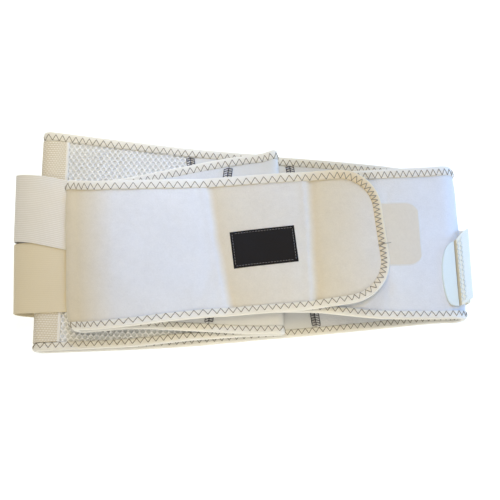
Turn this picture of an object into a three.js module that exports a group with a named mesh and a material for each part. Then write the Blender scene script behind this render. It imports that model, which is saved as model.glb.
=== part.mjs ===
// Belly band: a long soft support band, folded flat into a roll and lying on a table.
// Every piece is cut flat, as a tailor would, and then laid along the folded path of the band.
// Millimetres, +X along the band, +Y towards its upper edge, +Z up.

import * as THREE from 'three';
import { mergeVertices } from 'three/addons/utils/BufferGeometryUtils.js';

// Driving dimensions
const HALF_LENGTH = 702.5;         // centre back to either wing end, along the band
const END_CORNER_RADIUS = 38;     // rounded corners of the wing ends
const GAP = 0.3;                  // air between pieces that are sewn or laid together
const WING_THICKNESS = 3.0;
const SIDE_THICKNESS = 2.0;
const MESH_THICKNESS = 3.0;
const TAPE_WIDTH = 52;
const TAPE_THICKNESS = 1.0;
const BINDING_WIDTH = 9;          // each leg of the fold-over binding
const BINDING_WALL = 1.0;
const BINDING_ROUND = 0.8;        // chamfer of the binding's outer corners
const EDGE_INSET = BINDING_WALL + GAP;
const STRAP_WIDTH = 64;
const STRAP_THICKNESS = 1.0;
const TAB_THICKNESS = 1.6;
const LABEL_SIZE = { along: 56, across: 32.5, thickness: 0.8 };
const PATCH_SIZE = { along: 92, across: 58, thickness: 0.8, corner: 12 };

// Height of the flat band: half of it on each side, by distance from the centre back
const HALF_HEIGHT = [
  { from: 0, left: 102, right: 102 },
  { from: 90, left: 95.5, right: 97.5 },
  { from: 135, left: 90, right: 94 },
  { from: 190, left: 85.5, right: 88.5 },
  { from: 260, left: 82, right: 82.5 },
  { from: 310, left: 75.5, right: 77.5 },
  { from: 360, left: 68, right: 71.5 },
  { from: 410, left: 66.8, right: 69.5 },
  { from: 460, left: 65.2, right: 68.3 },
  { from: 520, left: 62.9, right: 64.5 },
  { from: 570, left: 62.4, right: 63 },
  { from: 620, left: 62.2, right: 62.3 },
  { from: HALF_LENGTH - END_CORNER_RADIUS, left: 60.5, right: 60.5 },
  { from: HALF_LENGTH, left: 60.5, right: 60.5 },
];

// Seams between the panels: distance from the centre back at the top and the bottom edge
const SEAMS = {
  leftMesh: { top: 137, bottom: 160 },
  leftWing: { top: 273, bottom: 288 },
  rightMesh: { top: -137, bottom: -160 },
  rightWing: { top: -229, bottom: -252 },
};

// The band's folded path, from the right wing's hidden end to the flap's end.
// x, y and z are the band's middle line, and lean turns the line across the band, in degrees.
// A fold row holds the outermost x of a soft round fold between the layers above and below it.
const BAND_PATH = [
  { x: -175, y: -12.5, z: 34.8, lean: 3 },
  { x: -94, y: -8.5, z: 34.6, lean: 3 },
  { x: -45, y: -4.5, z: 34.4, lean: 3 },
  { x: 0, y: -0.8, z: 34.3, lean: 2.5 },
  { x: 50, y: 1.4, z: 34.3, lean: 2 },
  { x: 110, y: 0.9, z: 34.3, lean: 1 },
  { x: 140, y: 2.0, z: 34.3, lean: 1.4 },
  { x: 172, y: 3.2, z: 34.3, lean: 1.6 },
  { fold: 186.2, y: 5, lean: 1.6 },
  { x: 172, y: 6.5, z: 5.5, lean: 1.6 },
  { x: 125, y: 7.4, z: 5.5, lean: 1 },
  { x: 50, y: 7.2, z: 5.5, lean: 0.5 },
  { x: -50, y: 7.4, z: 5.5, lean: 0 },
  { x: -184, y: 9.8, z: 5.5, lean: 0.8 },
  { fold: -189.6, y: 10, lean: 1, centre: true },
  { x: -184, y: 9.8, z: 16, lean: 0.8 },
  { x: -104, y: 7.8, z: 16, lean: 0.3 },
  { x: -40, y: 7.3, z: 16, lean: 0.8 },
  { x: 22, y: 6.4, z: 16, lean: 1.2 },
  { fold: 27.2, y: 6, lean: 1.2 },
  { x: 22, y: 5.6, z: 26, lean: 1.6 },
  { x: -20, y: 2.8, z: 26, lean: 3 },
  { x: -80, y: -2, z: 26, lean: 4.2 },
  { x: -150, y: -8.8, z: 26, lean: 4 },
  { fold: -159.6, y: -10.5, lean: 3.8 },
  { x: -150, y: -12.2, z: 42.6, lean: 4 },
  { x: -128, y: -11.4, z: 45.2, lean: 4 },
  { x: -84, y: -8, z: 46.6, lean: 4 },
  { x: -48, y: -4.8, z: 43.8, lean: 4.6 },
  { x: -29, y: -3.3, z: 41, lean: 5 },
  { x: -10, y: -2, z: 43.8, lean: 4.6 },
  { x: 14, y: -0.5, z: 46, lean: 4 },
  { x: 37, y: 1, z: 43.6, lean: 4.3 },
  { x: 52, y: 2.4, z: 41, lean: 4.6 },
  { x: 64, y: 3.5, z: 43, lean: 5 },
  { x: 80, y: 5.2, z: 44, lean: 5.4 },
  { x: 100, y: 7.4, z: 42.4, lean: 5.7 },
  { x: 118.6, y: 9.5, z: 40.9, lean: 6 },
];

// The straps run outside the band from the right tab, round the back, to the left tab.
const STRAP_PATHS = {
  strap_upper: [
    { x: 180.6, y: -25.6, z: 37.2, lean: 3 },
    { x: 181.4, y: -25.4, z: 37.1, lean: 3 },
    { fold: 195.4, y: -18, lean: 2 },
    { x: 173, y: -14, z: 0.5, lean: 5 },
    { x: -192, y: 39.6, z: 0.5, lean: 5 },
    { fold: -215.5, y: 41.2, lean: 2.6 },
    { x: -192, y: 38.6, z: 21.4, lean: -5 },
    { x: -120, y: 26.5, z: 21.4, lean: -9 },
    { x: -20, y: 10, z: 21.4, lean: 0 },
  ],
  strap_lower: [
    { x: 180.6, y: -25.6, z: 35.8, lean: 3 },
    { x: 181.4, y: -25.4, z: 35.7, lean: 3 },
    { fold: 193, y: -22, lean: 2 },
    { x: 167, y: -20, z: 1.8, lean: 0 },
    { x: -190, y: -25.4, z: 1.8, lean: 1 },
    { fold: -211.6, y: -25.6, lean: 4 },
    { x: -190, y: -25.2, z: 20, lean: 2 },
    { x: -120, y: -22, z: 20, lean: 3 },
    { x: -20, y: -16, z: 20, lean: 0 },
  ],
};

// Places of the small flat pieces: the label on the flap, the patch on the right wing
const LABEL_PLACE = { along: 595.5, across: -4.6, turn: 2.2 };
const PATCH_PLACE = { along: -476, across: 7.5 };
const RIGHT_TAB = { root: 180.2, reach: -12.4, middle: -26.5, width: 57, turn: 3, base: 36.1 };
const LEFT_TAB = { root: -19.6, reach: 28, middle: -4, width: 64, turn: 0, base: 19.4 };

// Facets: a new section where the band has turned this far, or after this stretch
const TURN_PER_FACET = THREE.MathUtils.degToRad(13);
const LONGEST_FACET = 32;
const CORNER_STEPS = 7;

const COLOURS = {
  mesh: { color: '#eef0ef', roughness: 0.9 },
  elastic: { color: '#e2e1dd', roughness: 0.85 },
  laminate: { color: '#e6e6ec', roughness: 0.8 },
  binding: { color: '#ece8da', roughness: 0.8 },
  strap: { color: '#ded5c4', roughness: 0.85 },
  tab: { color: '#dfeaf2', roughness: 0.6 },
  label: { color: '#1d1a1b', roughness: 0.7 },
  patch: { color: '#d8d4cc', roughness: 0.5 },
};

// A row of samples along a folded strip, with a place for any point of the flat cloth
class FoldedStrip {
  constructor(rows) {
    this.samples = [];
    let run = [];
    rows.forEach((row, index) => {
      if (row.fold === undefined) {
        run.push(row);
        return;
      }
      this.addRun(run);
      this.addFold(run[run.length - 1], row, rows[index + 1]);
      run = [];
    });
    this.addRun(run);
    this.measure();
  }

  addRun(run) {
    const stepsPerRow = 12;
    const curve = new THREE.CatmullRomCurve3(run.map((row) => new THREE.Vector3(row.x, row.y, row.z)));
    const steps = stepsPerRow * (run.length - 1);
    for (let step = 0; step <= steps; step += 1) {
      const before = Math.min(Math.floor(step / stepsPerRow), run.length - 2);
      const share = step / stepsPerRow - before;
      const lean = THREE.MathUtils.lerp(run[before].lean, run[before + 1].lean, share);
      this.addSample(curve.getPoint(step / steps), lean);
    }
  }

  // Half an ellipse from one layer to the next, as far out as the fold reaches
  addFold(start, fold, end) {
    const steps = 36;
    const middle = (start.z + end.z) / 2;
    const rise = (end.z - start.z) / 2;
    for (let step = 1; step < steps; step += 1) {
      const angle = Math.PI * (step / steps - 0.5);
      const share = step / steps;
      const base = THREE.MathUtils.lerp(start.x, end.x, share);
      const bow = 1 - Math.abs(2 * share - 1);
      const y = THREE.MathUtils.lerp(THREE.MathUtils.lerp(start.y, end.y, share), fold.y, bow);
      const lean = THREE.MathUtils.lerp(THREE.MathUtils.lerp(start.lean, end.lean, share), fold.lean, bow);
      const x = base + (fold.fold - base) * Math.cos(angle);
      this.addSample(new THREE.Vector3(x, y, middle + rise * Math.sin(angle)), lean);
      if (fold.centre && step === steps / 2) this.centreSample = this.samples.length - 1;
    }
  }

  addSample(position, lean) {
    const turn = THREE.MathUtils.degToRad(lean);
    const across = new THREE.Vector3(-Math.sin(turn), Math.cos(turn), 0);
    this.samples.push({ position, across });
  }

  // Distance along the strip from the centre back, or from the start where there is none
  measure() {
    let distance = 0;
    this.samples.forEach((sample, index) => {
      const before = this.samples[Math.max(index - 1, 0)];
      const after = this.samples[Math.min(index + 1, this.samples.length - 1)];
      distance += sample.position.distanceTo(before.position);
      sample.distance = distance;
      sample.forward = after.position.clone().sub(before.position).normalize();
    });
    const zero = this.centreSample === undefined ? 0 : this.samples[this.centreSample].distance;
    for (const sample of this.samples) sample.distance -= zero;
    this.start = this.samples[0].distance;
    this.end = this.samples[this.samples.length - 1].distance;
  }

  frameAt(distance) {
    let after = this.samples.findIndex((sample) => sample.distance >= distance);
    if (after < 1) after = after === 0 ? 1 : this.samples.length - 1;
    const a = this.samples[after - 1];
    const b = this.samples[after];
    const share = (distance - a.distance) / (b.distance - a.distance);
    const forward = a.forward.clone().lerp(b.forward, share);
    const across = a.across.clone().lerp(b.across, share);
    const outward = forward.clone().cross(across).normalize();
    return { position: a.position.clone().lerp(b.position, share), forward, across, outward };
  }

  // Where a point of the flat cloth comes to lie
  place(along, across, outward) {
    const frame = this.frameAt(along);
    return frame.position.addScaledVector(frame.across, across).addScaledVector(frame.outward, outward);
  }

  // Distances of the sections that the facets run between
  sections(from, to) {
    const margin = 1.5;
    const kept = [];
    let last = { distance: from, forward: this.frameAt(from).forward };
    for (const sample of this.samples) {
      if (sample.distance < from + margin || sample.distance > to - margin) continue;
      const turned = sample.forward.angleTo(last.forward);
      if (turned < TURN_PER_FACET && sample.distance - last.distance < LONGEST_FACET) continue;
      kept.push(sample.distance);
      last = sample;
    }
    return kept;
  }
}

const band = new FoldedStrip(BAND_PATH);
const object = new THREE.Group();

function addPiece(name, geometry, look) {
  geometry.computeVertexNormals();
  const mesh = new THREE.Mesh(geometry, new THREE.MeshStandardMaterial({ metalness: 0, ...look }));
  mesh.name = name;
  object.add(mesh);
}

// Moves each corner of a flat geometry to its place on a folded strip
function layDown(geometry, placeCorner) {
  geometry.deleteAttribute('normal');
  geometry.deleteAttribute('uv');
  const merged = mergeVertices(geometry);
  const position = merged.attributes.position;
  const corner = new THREE.Vector3();
  for (let index = 0; index < position.count; index += 1) {
    corner.fromBufferAttribute(position, index);
    const placed = placeCorner(corner);
    position.setXYZ(index, placed.x, placed.y, placed.z);
  }
  return merged;
}

function halfHeight(along) {
  const side = along < 0 ? 'right' : 'left';
  const distance = Math.min(Math.abs(along), HALF_LENGTH);
  const after = Math.max(1, HALF_HEIGHT.findIndex((row) => row.from >= distance));
  const a = HALF_HEIGHT[after - 1];
  const b = HALF_HEIGHT[after];
  return THREE.MathUtils.mapLinear(distance, a.from, b.from, a[side], b[side]);
}

// Half height of the cloth at an inset from the band's outline, with the wing ends rounded
function clothHalfHeight(along, inset) {
  const intoCorner = Math.abs(along) - (HALF_LENGTH - END_CORNER_RADIUS);
  if (intoCorner <= 0) return halfHeight(along) - inset;
  const radius = END_CORNER_RADIUS - inset;
  const rise = Math.sqrt(Math.max(radius * radius - intoCorner * intoCorner, 0));
  return halfHeight(along) - END_CORNER_RADIUS + rise;
}

// A seam line moved along the band, to leave half of the gap between two panels
function besideSeam(seam, shift) {
  return { top: seam.top + shift, bottom: seam.bottom + shift };
}

// Lines across the band that the facets run between, from one seam line to the next.
// Each has its distance at the top and at the bottom edge, and only the seams slant.
function linesAcross(from, to) {
  const inner = band.sections(Math.max(from.top, from.bottom), Math.min(to.top, to.bottom));
  return [from, ...inner.map(squareLine), to];
}

function squareLine(along) {
  return { top: along, bottom: along };
}

// More lines where the corners of a wing's end are round
function roundedLines(end, inset) {
  const reach = END_CORNER_RADIUS - inset;
  const lines = [];
  for (let step = 1; step <= CORNER_STEPS; step += 1) {
    const angle = (Math.PI / 2) * (step / CORNER_STEPS);
    lines.push(squareLine(end * (HALF_LENGTH - END_CORNER_RADIUS + reach * Math.sin(angle))));
  }
  return end > 0 ? lines : lines.reverse();
}

// Panels: flat cloth up to the inside of the binding, laid along the band
function panel(lines, thickness) {
  const spans = lines.length - 1;
  const flat = new THREE.BoxGeometry(1, 1, 1, spans, 1, 1);
  return layDown(flat, (corner) => {
    const line = lines[Math.round((corner.x + 0.5) * spans)];
    const along = corner.y > 0 ? line.top : line.bottom;
    const across = Math.sign(corner.y) * clothHalfHeight(along, EDGE_INSET);
    return band.place(along, across, corner.z * thickness);
  });
}

const halfGap = GAP / 2;
const cornerStart = HALF_LENGTH - END_CORNER_RADIUS;
const LINES = {
  back: linesAcross(besideSeam(SEAMS.rightMesh, halfGap), besideSeam(SEAMS.leftMesh, -halfGap)),
  leftSide: linesAcross(besideSeam(SEAMS.leftMesh, halfGap), besideSeam(SEAMS.leftWing, -halfGap)),
  rightSide: linesAcross(besideSeam(SEAMS.rightWing, halfGap), besideSeam(SEAMS.rightMesh, -halfGap)),
  leftWing: linesAcross(besideSeam(SEAMS.leftWing, halfGap), squareLine(cornerStart)),
  rightWing: linesAcross(squareLine(-cornerStart), besideSeam(SEAMS.rightWing, -halfGap)),
};

addPiece('back_mesh_panel', panel(LINES.back, MESH_THICKNESS), COLOURS.mesh);
addPiece('left_side_panel', panel(LINES.leftSide, SIDE_THICKNESS), COLOURS.elastic);
addPiece('right_side_panel', panel(LINES.rightSide, SIDE_THICKNESS), COLOURS.elastic);
const leftWingLines = [...LINES.leftWing, ...roundedLines(1, EDGE_INSET)];
const rightWingLines = [...roundedLines(-1, EDGE_INSET), ...LINES.rightWing];
addPiece('left_wing', panel(leftWingLines, WING_THICKNESS), COLOURS.laminate);
addPiece('right_wing', panel(rightWingLines, WING_THICKNESS), COLOURS.laminate);

// Centre tape: lies on the mesh's outer face, between the two bindings
function tape() {
  const half = TAPE_WIDTH / 2;
  const columns = [-half, ...band.sections(-half, half), half];
  const spans = columns.length - 1;
  const base = MESH_THICKNESS / 2 + GAP;
  const flat = new THREE.BoxGeometry(1, 1, 1, spans, 1, 1);
  return layDown(flat, (corner) => {
    const along = columns[Math.round((corner.x + 0.5) * spans)];
    const across = Math.sign(corner.y) * (halfHeight(along) - BINDING_WIDTH - GAP);
    return band.place(along, across, base + (corner.z + 0.5) * TAPE_THICKNESS);
  });
}
addPiece('center_tape', tape(), COLOURS.elastic);

// Binding: a U section whose legs hold the panel's edge
function bindingSection(panelThickness) {
  const half = panelThickness / 2 + GAP + BINDING_WALL;
  const inner = half - BINDING_WALL;
  const section = new THREE.Shape();
  section.moveTo(BINDING_ROUND, -half);
  section.lineTo(BINDING_WIDTH, -half);
  section.lineTo(BINDING_WIDTH, -inner);
  section.lineTo(BINDING_WALL, -inner);
  section.lineTo(BINDING_WALL, inner);
  section.lineTo(BINDING_WIDTH, inner);
  section.lineTo(BINDING_WIDTH, half);
  section.lineTo(BINDING_ROUND, half);
  section.lineTo(0, half - BINDING_ROUND);
  section.lineTo(0, BINDING_ROUND - half);
  section.closePath();
  return section;
}

// Edge points run with the cloth on their left: forward on the bottom edge, back on the top edge.
// Each holds its place on the flat band and the way inward, over the cloth.
function edgePoint(along, side) {
  const place = new THREE.Vector2(along, side * halfHeight(along));
  return { place, inward: new THREE.Vector2(0, -side) };
}

function bottomEdge(lines) {
  return lines.map((line) => edgePoint(line.bottom, -1));
}

function topEdge(lines) {
  return lines.map((line) => edgePoint(line.top, 1)).reverse();
}

function cornerPoints(end, side) {
  const middle = new THREE.Vector2(end * cornerStart, side * (halfHeight(HALF_LENGTH) - END_CORNER_RADIUS));
  const points = [];
  for (let step = 1; step <= CORNER_STEPS; step += 1) {
    const angle = (Math.PI / 2) * (step / CORNER_STEPS);
    const inward = new THREE.Vector2(-end * Math.sin(angle), -side * Math.cos(angle));
    points.push({ place: middle.clone().addScaledVector(inward, -END_CORNER_RADIUS), inward });
  }
  return points;
}

// Inward along a seam line, from the top edge (side 1) or from the bottom edge (side -1)
function seamInward(seam, side) {
  const slope = (seam.bottom - seam.top) / (halfHeight(seam.top) + halfHeight(seam.bottom));
  return new THREE.Vector2(slope, -1).multiplyScalar(side);
}

// The binding's two cut ends follow the seams
function binding(edge, startInward, finishInward, panelThickness) {
  const steps = edge.length - 1;
  edge[0].inward = startInward;
  edge[steps].inward = finishInward;
  const flat = new THREE.ExtrudeGeometry(bindingSection(panelThickness), {
    depth: 1,
    steps,
    bevelEnabled: false,
  });
  return layDown(flat, (corner) => {
    const { place, inward } = edge[Math.round(corner.z * steps)];
    const point = place.clone().addScaledVector(inward, corner.x);
    return band.place(point.x, point.y, corner.y);
  });
}

function straightBinding(name, lines, panelThickness) {
  const from = lines[0];
  const to = lines[lines.length - 1];
  const bottom = binding(bottomEdge(lines), seamInward(from, -1), seamInward(to, -1), panelThickness);
  const top = binding(topEdge(lines), seamInward(to, 1), seamInward(from, 1), panelThickness);
  addPiece(`${name}_bottom`, bottom, COLOURS.binding);
  addPiece(`${name}_top`, top, COLOURS.binding);
}

straightBinding('binding_back', LINES.back, MESH_THICKNESS);
straightBinding('binding_left_side', LINES.leftSide, SIDE_THICKNESS);
straightBinding('binding_right_side', LINES.rightSide, SIDE_THICKNESS);

// A wing's binding runs along one edge, round the end and back along the other edge
function wingBinding(lines, end) {
  const seam = end > 0 ? lines[0] : lines[lines.length - 1];
  const outward = end > 0 ? bottomEdge(lines) : topEdge(lines);
  const back = end > 0 ? topEdge(lines) : bottomEdge(lines);
  const rounded = [...cornerPoints(end, -end), ...cornerPoints(end, end).reverse()];
  return binding(
    [...outward, ...rounded, ...back],
    seamInward(seam, -end),
    seamInward(seam, end),
    WING_THICKNESS,
  );
}
addPiece('binding_left_wing', wingBinding(LINES.leftWing, 1), COLOURS.binding);
addPiece('binding_right_wing', wingBinding(LINES.rightWing, -1), COLOURS.binding);

// Straps: flat elastic webbing on paths of their own
for (const [name, rows] of Object.entries(STRAP_PATHS)) {
  const strap = new FoldedStrip(rows);
  const columns = [strap.start, ...strap.sections(strap.start, strap.end), strap.end];
  const flat = new THREE.BoxGeometry(1, 1, 1, columns.length - 1, 1, 1);
  const geometry = layDown(flat, (corner) => {
    const along = columns[Math.round((corner.x + 0.5) * (columns.length - 1))];
    return strap.place(along, corner.y * STRAP_WIDTH, corner.z * STRAP_THICKNESS);
  });
  addPiece(name, geometry, COLOURS.strap);
}

// Pull tabs: thin plates with a straight root at the strap ends and a bowed outer edge
function pullTab(tab) {
  const half = tab.width / 2;
  const outline = new THREE.Shape();
  outline.moveTo(0, -half);
  if (tab.reach > 0) {
    outline.absellipse(0, 0, tab.reach, half, -Math.PI / 2, Math.PI / 2, false);
  } else {
    outline.absellipse(0, 0, -tab.reach, half, -Math.PI / 2, Math.PI / 2, true);
  }
  outline.closePath();
  const plate = new THREE.ExtrudeGeometry(outline, {
    depth: TAB_THICKNESS,
    curveSegments: 16,
    bevelEnabled: false,
  });
  plate.rotateZ(THREE.MathUtils.degToRad(tab.turn));
  return plate.translate(tab.root, tab.middle, tab.base);
}
addPiece('right_tab', pullTab(RIGHT_TAB), COLOURS.tab);
addPiece('left_tab', pullTab(LEFT_TAB), COLOURS.tab);

// Label: a woven rectangle sewn flat on the flap, following its arch
function label() {
  const steps = 8;
  const base = WING_THICKNESS / 2 + GAP;
  const turn = THREE.MathUtils.degToRad(LABEL_PLACE.turn);
  const flat = new THREE.BoxGeometry(1, 1, 1, steps, 1, 1);
  return layDown(flat, (corner) => {
    const x = corner.x * LABEL_SIZE.along;
    const y = corner.y * LABEL_SIZE.across;
    const along = LABEL_PLACE.along + x * Math.cos(turn) - y * Math.sin(turn);
    const across = LABEL_PLACE.across + x * Math.sin(turn) + y * Math.cos(turn);
    return band.place(along, across, base + (corner.z + 0.5) * LABEL_SIZE.thickness);
  });
}
addPiece('label_patch', label(), COLOURS.label);

// Fastener patch: a smooth rounded rectangle on the outer face of the right wing
function fastenerPatch() {
  const halfAlong = PATCH_SIZE.along / 2;
  const halfAcross = PATCH_SIZE.across / 2;
  const corner = PATCH_SIZE.corner;
  const base = WING_THICKNESS / 2 + GAP;
  const outline = new THREE.Shape();
  outline.moveTo(corner - halfAlong, -halfAcross);
  outline.lineTo(halfAlong - corner, -halfAcross);
  outline.absarc(halfAlong - corner, corner - halfAcross, corner, -Math.PI / 2, 0);
  outline.absarc(halfAlong - corner, halfAcross - corner, corner, 0, Math.PI / 2);
  outline.absarc(corner - halfAlong, halfAcross - corner, corner, Math.PI / 2, Math.PI);
  outline.absarc(corner - halfAlong, corner - halfAcross, corner, Math.PI, 1.5 * Math.PI);
  const flat = new THREE.ExtrudeGeometry(outline, {
    depth: PATCH_SIZE.thickness,
    curveSegments: 6,
    bevelEnabled: false,
  });
  return layDown(flat, (point) => band.place(
    PATCH_PLACE.along + point.x,
    PATCH_PLACE.across + point.y,
    base + point.z,
  ));
}
addPiece('fastener_patch', fastenerPatch(), COLOURS.patch);

// The origin is the middle of the object's footprint, on the table
const box = new THREE.Box3().setFromObject(object);
const middle = box.getCenter(new THREE.Vector3());
object.position.set(-middle.x, -middle.y, -box.min.z);
object.updateMatrixWorld(true);

export default object;
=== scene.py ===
# Belly band: a long soft support band, folded flat into a roll and lying on a table.
# Every piece is cut flat and then laid along the folded path of the band.
# The sections follow the making of the band. Sizes are in millimetres, and the scene is in metres.

import math
from collections import namedtuple

import bpy
import numpy as np
from mathutils import Matrix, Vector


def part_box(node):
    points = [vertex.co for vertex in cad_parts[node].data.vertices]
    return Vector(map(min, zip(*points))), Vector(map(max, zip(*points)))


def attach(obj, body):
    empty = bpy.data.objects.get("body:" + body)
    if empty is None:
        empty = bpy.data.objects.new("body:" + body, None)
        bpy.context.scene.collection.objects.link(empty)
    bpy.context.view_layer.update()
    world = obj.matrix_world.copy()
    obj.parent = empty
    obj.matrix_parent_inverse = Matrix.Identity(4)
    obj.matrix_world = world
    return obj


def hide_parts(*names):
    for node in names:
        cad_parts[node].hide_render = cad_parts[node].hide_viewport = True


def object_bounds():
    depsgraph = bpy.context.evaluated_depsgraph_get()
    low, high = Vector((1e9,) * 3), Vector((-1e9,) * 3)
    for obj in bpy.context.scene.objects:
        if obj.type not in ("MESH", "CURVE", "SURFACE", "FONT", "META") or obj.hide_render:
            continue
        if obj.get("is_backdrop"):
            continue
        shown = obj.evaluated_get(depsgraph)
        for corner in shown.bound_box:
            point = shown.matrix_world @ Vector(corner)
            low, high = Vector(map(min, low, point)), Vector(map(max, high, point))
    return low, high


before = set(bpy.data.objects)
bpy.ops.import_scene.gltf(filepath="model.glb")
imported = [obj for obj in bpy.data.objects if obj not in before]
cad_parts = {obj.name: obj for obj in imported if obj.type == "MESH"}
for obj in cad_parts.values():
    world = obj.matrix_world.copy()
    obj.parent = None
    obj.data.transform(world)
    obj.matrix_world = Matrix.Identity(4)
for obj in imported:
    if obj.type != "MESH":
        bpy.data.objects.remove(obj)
cad_low, cad_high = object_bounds()

# Back mesh panel
# A white spacer mesh over the wearer's back, the tallest panel, folded at the centre back.
# Its face yarns make a net of diamond holes, and the closed back layer shows through them, coloured a
# darker grey than the yarn as painted shade in the holes.

MM = 0.001
Row = namedtuple("Row", "x y z lean")  # a point of the middle line, and the turn of the line across it
Fold = namedtuple("Fold", "x y lean")  # the outermost place of a round fold between two layers

RIGHT_FOLD = Fold(186.2, 5, 1.6)
CENTRE_BACK = Fold(-189.6, 11.5, 1)
TAIL_FOLD = Fold(27.2, 6, 1.2)
LEFT_FOLD = Fold(-159.9, -9.0, 3.8)
FIRST_CREASE = Row(-29, -3.3, 40.2, 5)
SECOND_CREASE = Row(52, 2.4, 43.0, 4.6)
BAND_PATH = [
    Row(-175, -12.5, 34.8, 3),
    Row(-94, -7.2, 34.6, 3),
    Row(-45, -2.8, 34.4, 3),
    Row(0, 1.2, 34.3, 2.5),
    Row(50, 3.2, 34.3, 2),
    Row(100, 1.4, 34.9, 1),
    Row(140, 2.0, 34.2, 1.4),
    Row(168, 3.0, 33.4, 1.6),
    RIGHT_FOLD,
    Row(172, 6.5, 5.5, 1.6),
    Row(125, 7.4, 5.5, 1),
    Row(50, 7.2, 5.5, 0.5),
    Row(-50, 7.4, 5.5, 0),
    Row(-184, 11.0, 5.5, 0.8),
    CENTRE_BACK,
    Row(-184, 11.3, 16, 0.8),
    Row(-104, 7.8, 16, 0.3),
    Row(-40, 7.3, 16, 0.8),
    Row(22, 6.4, 16, 1.2),
    TAIL_FOLD,
    Row(22, 5.6, 26, 1.6),
    Row(-20, 2.8, 26, 3),
    Row(-80, -2, 26, 4.2),
    Row(-150, -8.8, 26, 4),
    LEFT_FOLD,
    Row(-150, -9.8, 39.6, 4),
    Row(-142, -10.6, 42.6, 4),
    Row(-131, -11.0, 44.9, 4),
    Row(-118, -10.4, 46.2, 4),
    Row(-105, -9.7, 46.5, 4),
    Row(-84, -8, 45.8, 4),
    Row(-62, -6.1, 44.4, 4.3),
    Row(-44, -4.5, 42.5, 4.7),
    FIRST_CREASE,
    Row(-16, -2.5, 41.1, 4.8),
    Row(0, -1.3, 42.1, 4.4),
    Row(20, -0.1, 43.1, 4.1),
    Row(40, 1.3, 43.6, 4.3),
    SECOND_CREASE,
    Row(62, 3.3, 43.9, 5),
    Row(80, 5.2, 44.7, 5.4),
    Row(98, 7.2, 45.4, 5.7),
    Row(110, 8.5, 45.4, 5.9),
    Row(121.4, 9.85, 44.2, 6),
]
LEFT_TAB_CORNER = np.array([-19.6, -36, 19.4])  # the left tab lies square to the path's own axes
path_origin = np.array(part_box("left_tab")[0]) / MM - LEFT_TAB_CORNER


def unit(vectors):
    return vectors / np.linalg.norm(vectors, axis=-1, keepdims=True)


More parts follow.
